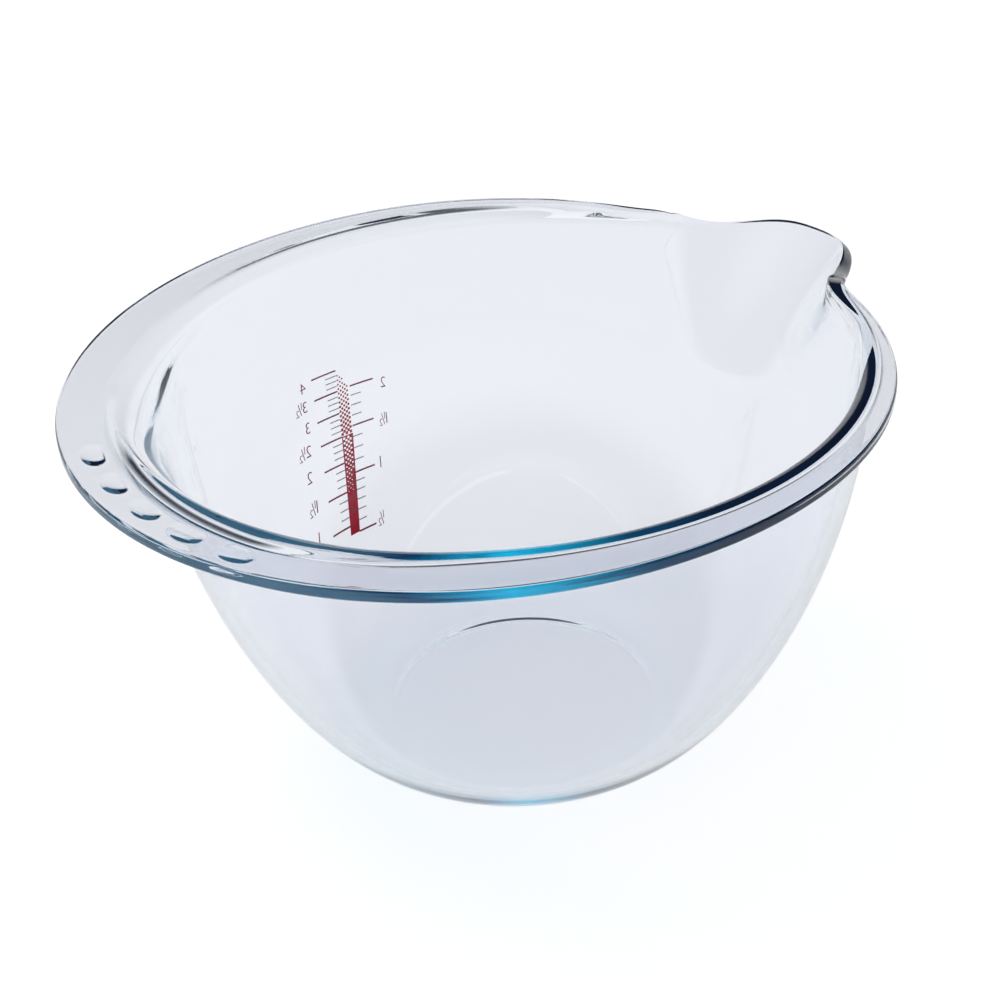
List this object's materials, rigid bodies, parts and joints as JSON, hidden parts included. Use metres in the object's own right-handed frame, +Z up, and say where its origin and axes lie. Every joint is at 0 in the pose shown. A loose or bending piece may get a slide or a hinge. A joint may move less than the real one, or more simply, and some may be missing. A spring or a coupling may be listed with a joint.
{
  "type": "glass mixing bowl",
  "caption": "Clear pressed-glass mixing bowl with an off-centre rim flange, raised pads under its thumb grip, a pouring spout and a printed capacity scale on the outside.",
  "frame": {"origin": "centre of the flat underside that the bowl stands on", "axes": "+Z up, +X from the middle of the bowl towards the pouring spout, +Y towards the printed scale"},
  "size_m": [0.3035, 0.2692, 0.145],
  "materials": {
    "clear_glass": "fire-polished clear borosilicate glass with a faint blue-green edge",
    "red_enamel": "fired red enamel print",
    "crimson_enamel": "fired crimson enamel print",
    "pale_enamel": "thin fired enamel print, paler"
  },
  "bodies": {
    "root": {"glass_bowl": "clear_glass", "scale_bar": "red_enamel", "scale_dots": "red_enamel", "litre_marks": "crimson_enamel", "pint_marks": "crimson_enamel", "minor_marks": "pale_enamel"}
  },
  "joints": []
}
